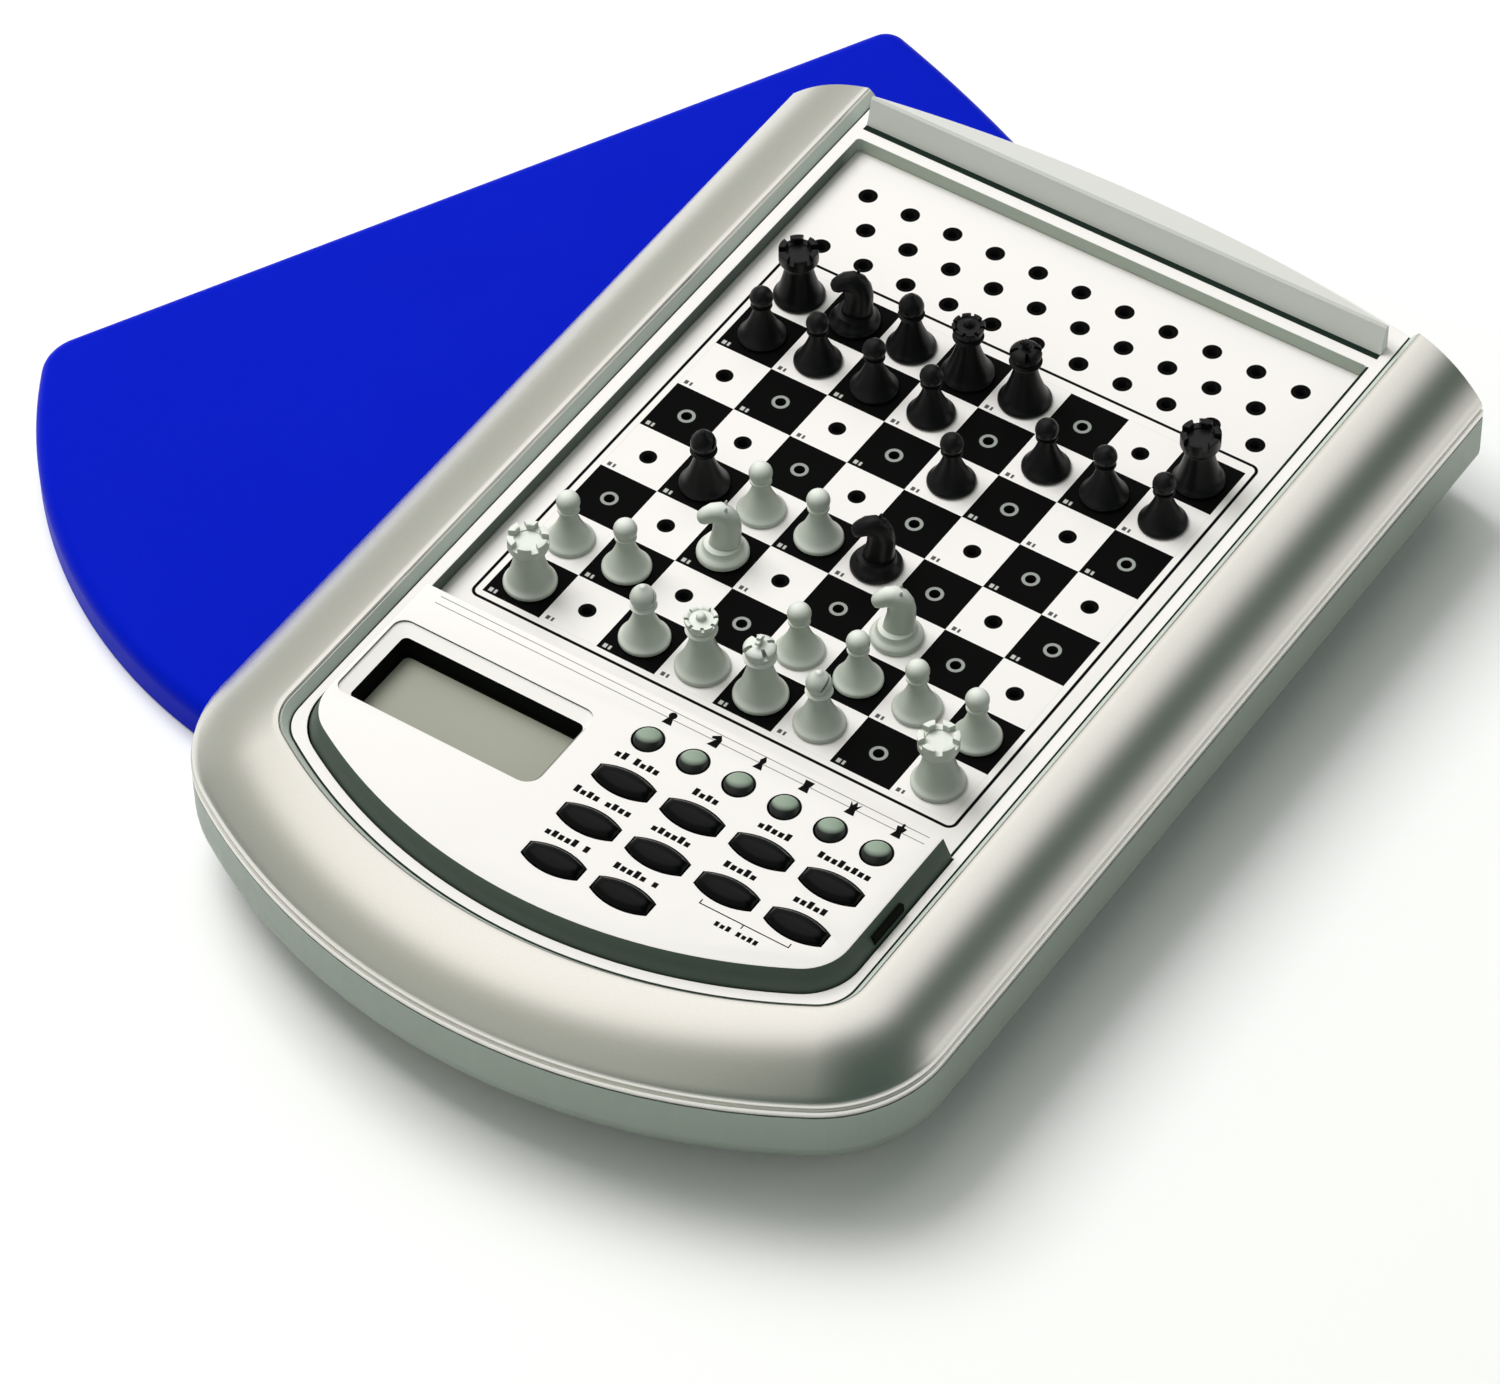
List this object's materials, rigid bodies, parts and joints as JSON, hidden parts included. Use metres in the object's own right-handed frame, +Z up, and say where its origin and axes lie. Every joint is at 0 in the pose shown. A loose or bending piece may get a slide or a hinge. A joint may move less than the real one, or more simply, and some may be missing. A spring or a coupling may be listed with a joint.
{
  "type": "electronic chess computer",
  "caption": "Travel chess computer with a peg board, pegged men, storage holes, a raised keypad with a display and press keys, a sliding battery door and a loose slide-on cover.",
  "frame": {"origin": "middle of the whole object's box in plan, on the surface the cover stands on", "axes": "+X along the ranks of the board from file a to file h, +Y from the keypad to the far edge, +Z up"},
  "size_m": [0.2532, 0.2766, 0.0447],
  "materials": {
    "grey_case": "satin grey moulded plastic",
    "silver_rim": "silver lacquered plastic, satin",
    "white_frame": "fine matt",
    "board": "printed black and white squares, semi-matt",
    "display": "grey-green liquid crystal display",
    "circuit_board": "green solder mask",
    "key_mat": "silicone rubber",
    "batteries": "printed sleeve, satin",
    "contacts": "nickel plated spring steel",
    "screws": "zinc plated",
    "blue_cover": "glossy blue",
    "round_keys": "satin grey-green",
    "oval_keys": "glossy black",
    "white_men": "satin off-white",
    "black_men": "satin black"
  },
  "bodies": {
    "case": {"lower_case": "grey_case", "upper_case": "silver_rim", "top_frame": "white_frame", "board_panel": "board", "display_module": "display", "circuit_board": "circuit_board", "key_mat": "key_mat", "batteries": "batteries", "battery_contacts": "contacts", "case_screws": "screws"},
    "battery_door": {"battery_door": "grey_case"},
    "cover": {"cover": "blue_cover"},
    "key_pawn": {"key_pawn": "round_keys"},
    "key_knight": {"key_knight": "round_keys"},
    "key_bishop": {"key_bishop": "round_keys"},
    "key_rook": {"key_rook": "round_keys"},
    "key_queen": {"key_queen": "round_keys"},
    "key_king": {"key_king": "round_keys"},
    "key_go": {"key_go": "oval_keys"},
    "key_info": {"key_info": "oval_keys"},
    "key_level": {"key_level": "oval_keys"},
    "key_position": {"key_position": "oval_keys"},
    "key_take_back": {"key_take_back": "oval_keys"},
    "key_option": {"key_option": "oval_keys"},
    "key_clear": {"key_clear": "oval_keys"},
    "key_enter": {"key_enter": "oval_keys"},
    "key_white_side": {"key_white_side": "oval_keys"},
    "key_black_side": {"key_black_side": "oval_keys"},
    "white_rook_1": {"white_rook_1": "white_men"},
    "white_rook_2": {"white_rook_2": "white_men"},
    "white_bishop_1": {"white_bishop_1": "white_men"},
    "white_bishop_2": {"white_bishop_2": "white_men"},
    "white_knight_1": {"white_knight_1": "white_men"},
    "white_knight_2": {"white_knight_2": "white_men"},
    "white_queen": {"white_queen": "white_men"},
    "white_king": {"white_king": "white_men"},
    "white_pawn_1": {"white_pawn_1": "white_men"},
    "white_pawn_2": {"white_pawn_2": "white_men"},
    "white_pawn_3": {"white_pawn_3": "white_men"},
    "white_pawn_4": {"white_pawn_4": "white_men"},
    "white_pawn_5": {"white_pawn_5": "white_men"},
    "white_pawn_6": {"white_pawn_6": "white_men"},
    "white_pawn_7": {"white_pawn_7": "white_men"},
    "white_pawn_8": {"white_pawn_8": "white_men"},
    "black_rook_1": {"black_rook_1": "black_men"},
    "black_rook_2": {"black_rook_2": "black_men"},
    "black_bishop_1": {"black_bishop_1": "black_men"},
    "black_bishop_2": {"black_bishop_2": "black_men"},
    "black_knight_1": {"black_knight_1": "black_men"},
    "black_knight_2": {"black_knight_2": "black_men"},
    "black_queen": {"black_queen": "black_men"},
    "black_king": {"black_king": "black_men"},
    "black_pawn_1": {"black_pawn_1": "black_men"},
    "black_pawn_2": {"black_pawn_2": "black_men"},
    "black_pawn_3": {"black_pawn_3": "black_men"},
    "black_pawn_4": {"black_pawn_4": "black_men"},
    "black_pawn_5": {"black_pawn_5": "black_men"},
    "black_pawn_6": {"black_pawn_6": "black_men"},
    "black_pawn_7": {"black_pawn_7": "black_men"},
    "black_pawn_8": {"black_pawn_8": "black_men"}
  },
  "joints": [
    {"name": "battery_door_slide", "type": "slide", "parent": "case", "child": "battery_door", "axis": [0, 1, 0], "range_m": [0, 0.045]},
    {"name": "cover_slide", "type": "slide", "parent": "case", "child": "cover", "axis": [0.4664, 0.8846, 0], "range_m": [0, 0.1]},
    {"name": "key_pawn_press", "type": "slide", "parent": "case", "child": "key_pawn", "axis": [0, 0, -1], "range_m": [0, 0.0012], "stiffness_N_per_m": 300, "springref_m": -0.003},
    {"name": "key_knight_press", "type": "slide", "parent": "case", "child": "key_knight", "axis": [0, 0, -1], "range_m": [0, 0.0012], "stiffness_N_per_m": 300, "springref_m": -0.003},
    {"name": "key_bishop_press", "type": "slide", "parent": "case", "child": "key_bishop", "axis": [0, 0, -1], "range_m": [0, 0.0012], "stiffness_N_per_m": 300, "springref_m": -0.003},
    {"name": "key_rook_press", "type": "slide", "parent": "case", "child": "key_rook", "axis": [0, 0, -1], "range_m": [0, 0.0012], "stiffness_N_per_m": 300, "springref_m": -0.003},
    {"name": "key_queen_press", "type": "slide", "parent": "case", "child": "key_queen", "axis": [0, 0, -1], "range_m": [0, 0.0012], "stiffness_N_per_m": 300, "springref_m": -0.003},
    {"name": "key_king_press", "type": "slide", "parent": "case", "child": "key_king", "axis": [0, 0, -1], "range_m": [0, 0.0012], "stiffness_N_per_m": 300, "springref_m": -0.003},
    {"name": "key_go_press", "type": "slide", "parent": "case", "child": "key_go", "axis": [0, 0, -1], "range_m": [0, 0.0012], "stiffness_N_per_m": 300, "springref_m": -0.003},
    {"name": "key_info_press", "type": "slide", "parent": "case", "child": "key_info", "axis": [0, 0, -1], "range_m": [0, 0.0012], "stiffness_N_per_m": 300, "springref_m": -0.003},
    {"name": "key_level_press", "type": "slide", "parent": "case", "child": "key_level", "axis": [0, 0, -1], "range_m": [0, 0.0012], "stiffness_N_per_m": 300, "springref_m": -0.003},
    {"name": "key_position_press", "type": "slide", "parent": "case", "child": "key_position", "axis": [0, 0, -1], "range_m": [0, 0.0012], "stiffness_N_per_m": 300, "springref_m": -0.003},
    {"name": "key_take_back_press", "type": "slide", "parent": "case", "child": "key_take_back", "axis": [0, 0, -1], "range_m": [0, 0.0012], "stiffness_N_per_m": 300, "springref_m": -0.003},
    {"name": "key_option_press", "type": "slide", "parent": "case", "child": "key_option", "axis": [0, 0, -1], "range_m": [0, 0.0012], "stiffness_N_per_m": 300, "springref_m": -0.003},
    {"name": "key_clear_press", "type": "slide", "parent": "case", "child": "key_clear", "axis": [0, 0, -1], "range_m": [0, 0.0012], "stiffness_N_per_m": 300, "springref_m": -0.003},
    {"name": "key_enter_press", "type": "slide", "parent": "case", "child": "key_enter", "axis": [0, 0, -1], "range_m": [0, 0.0012], "stiffness_N_per_m": 300, "springref_m": -0.003},
    {"name": "key_white_side_press", "type": "slide", "parent": "case", "child": "key_white_side", "axis": [0, 0, -1], "range_m": [0, 0.0012], "stiffness_N_per_m": 300, "springref_m": -0.003},
    {"name": "key_black_side_press", "type": "slide", "parent": "case", "child": "key_black_side", "axis": [0, 0, -1], "range_m": [0, 0.0012], "stiffness_N_per_m": 300, "springref_m": -0.003},
    {"name": "white_rook_1_lift", "type": "slide", "parent": "case", "child": "white_rook_1", "axis": [0, 0, 1], "range_m": [0, 0.012]},
    {"name": "white_rook_2_lift", "type": "slide", "parent": "case", "child": "white_rook_2", "axis": [0, 0, 1], "range_m": [0, 0.012]},
    {"name": "white_bishop_1_lift", "type": "slide", "parent": "case", "child": "white_bishop_1", "axis": [0, 0, 1], "range_m": [0, 0.012]},
    {"name": "white_bishop_2_lift", "type": "slide", "parent": "case", "child": "white_bishop_2", "axis": [0, 0, 1], "range_m": [0, 0.012]},
    {"name": "white_knight_1_lift", "type": "slide", "parent": "case", "child": "white_knight_1", "axis": [0, 0, 1], "range_m": [0, 0.012]},
    {"name": "white_knight_2_lift", "type": "slide", "parent": "case", "child": "white_knight_2", "axis": [0, 0, 1], "range_m": [0, 0.012]},
    {"name": "white_queen_lift", "type": "slide", "parent": "case", "child": "white_queen", "axis": [0, 0, 1], "range_m": [0, 0.012]},
    {"name": "white_king_lift", "type": "slide", "parent": "case", "child": "white_king", "axis": [0, 0, 1], "range_m": [0, 0.012]},
    {"name": "white_pawn_1_lift", "type": "slide", "parent": "case", "child": "white_pawn_1", "axis": [0, 0, 1], "range_m": [0, 0.012]},
    {"name": "white_pawn_2_lift", "type": "slide", "parent": "case", "child": "white_pawn_2", "axis": [0, 0, 1], "range_m": [0, 0.012]},
    {"name": "white_pawn_3_lift", "type": "slide", "parent": "case", "child": "white_pawn_3", "axis": [0, 0, 1], "range_m": [0, 0.012]},
    {"name": "white_pawn_4_lift", "type": "slide", "parent": "case", "child": "white_pawn_4", "axis": [0, 0, 1], "range_m": [0, 0.012]},
    {"name": "white_pawn_5_lift", "type": "slide", "parent": "case", "child": "white_pawn_5", "axis": [0, 0, 1], "range_m": [0, 0.012]},
    {"name": "white_pawn_6_lift", "type": "slide", "parent": "case", "child": "white_pawn_6", "axis": [0, 0, 1], "range_m": [0, 0.012]},
    {"name": "white_pawn_7_lift", "type": "slide", "parent": "case", "child": "white_pawn_7", "axis": [0, 0, 1], "range_m": [0, 0.012]},
    {"name": "white_pawn_8_lift", "type": "slide", "parent": "case", "child": "white_pawn_8", "axis": [0, 0, 1], "range_m": [0, 0.012]},
    {"name": "black_rook_1_lift", "type": "slide", "parent": "case", "child": "black_rook_1", "axis": [0, 0, 1], "range_m": [0, 0.012]},
    {"name": "black_rook_2_lift", "type": "slide", "parent": "case", "child": "black_rook_2", "axis": [0, 0, 1], "range_m": [0, 0.012]},
    {"name": "black_bishop_1_lift", "type": "slide", "parent": "case", "child": "black_bishop_1", "axis": [0, 0, 1], "range_m": [0, 0.012]},
    {"name": "black_bishop_2_lift", "type": "slide", "parent": "case", "child": "black_bishop_2", "axis": [0, 0, 1], "range_m": [0, 0.012]},
    {"name": "black_knight_1_lift", "type": "slide", "parent": "case", "child": "black_knight_1", "axis": [0, 0, 1], "range_m": [0, 0.012]},
    {"name": "black_knight_2_lift", "type": "slide", "parent": "case", "child": "black_knight_2", "axis": [0, 0, 1], "range_m": [0, 0.012]},
    {"name": "black_queen_lift", "type": "slide", "parent": "case", "child": "black_queen", "axis": [0, 0, 1], "range_m": [0, 0.012]},
    {"name": "black_king_lift", "type": "slide", "parent": "case", "child": "black_king", "axis": [0, 0, 1], "range_m": [0, 0.012]},
    {"name": "black_pawn_1_lift", "type": "slide", "parent": "case", "child": "black_pawn_1", "axis": [0, 0, 1], "range_m": [0, 0.012]},
    {"name": "black_pawn_2_lift", "type": "slide", "parent": "case", "child": "black_pawn_2", "axis": [0, 0, 1], "range_m": [0, 0.012]},
    {"name": "black_pawn_3_lift", "type": "slide", "parent": "case", "child": "black_pawn_3", "axis": [0, 0, 1], "range_m": [0, 0.012]},
    {"name": "black_pawn_4_lift", "type": "slide", "parent": "case", "child": "black_pawn_4", "axis": [0, 0, 1], "range_m": [0, 0.012]},
    {"name": "black_pawn_5_lift", "type": "slide", "parent": "case", "child": "black_pawn_5", "axis": [0, 0, 1], "range_m": [0, 0.012]},
    {"name": "black_pawn_6_lift", "type": "slide", "parent": "case", "child": "black_pawn_6", "axis": [0, 0, 1], "range_m": [0, 0.012]},
    {"name": "black_pawn_7_lift", "type": "slide", "parent": "case", "child": "black_pawn_7", "axis": [0, 0, 1], "range_m": [0, 0.012]},
    {"name": "black_pawn_8_lift", "type": "slide", "parent": "case", "child": "black_pawn_8", "axis": [0, 0, 1], "range_m": [0, 0.012]}
  ]
}
